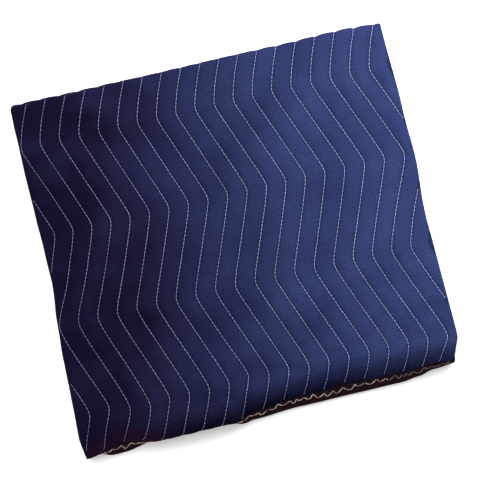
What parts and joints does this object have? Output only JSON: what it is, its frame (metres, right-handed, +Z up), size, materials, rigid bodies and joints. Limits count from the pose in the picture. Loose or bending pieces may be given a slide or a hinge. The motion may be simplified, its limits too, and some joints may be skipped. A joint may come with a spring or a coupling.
{
  "type": "folded moving blanket",
  "caption": "Quilted moving blanket folded to a flat packet, with zigzag stitch rows and a dark bound hem low on its front side.",
  "frame": {"origin": "centre of the packet's footprint, on the surface that it rests on", "axes": "+X to the packet's right, +Y from its front, where the hem is, to its back, +Z up"},
  "size_m": [0.51, 0.4796, 0.0556],
  "materials": {
    "quilted_cloth": "soft matt navy woven cloth, quilted in pale thread",
    "binding_tape": "dark woven tape, sewn with a pale zigzag"
  },
  "bodies": {
    "root": {"blanket": "quilted_cloth", "hem_binding": "binding_tape"}
  },
  "joints": []
}
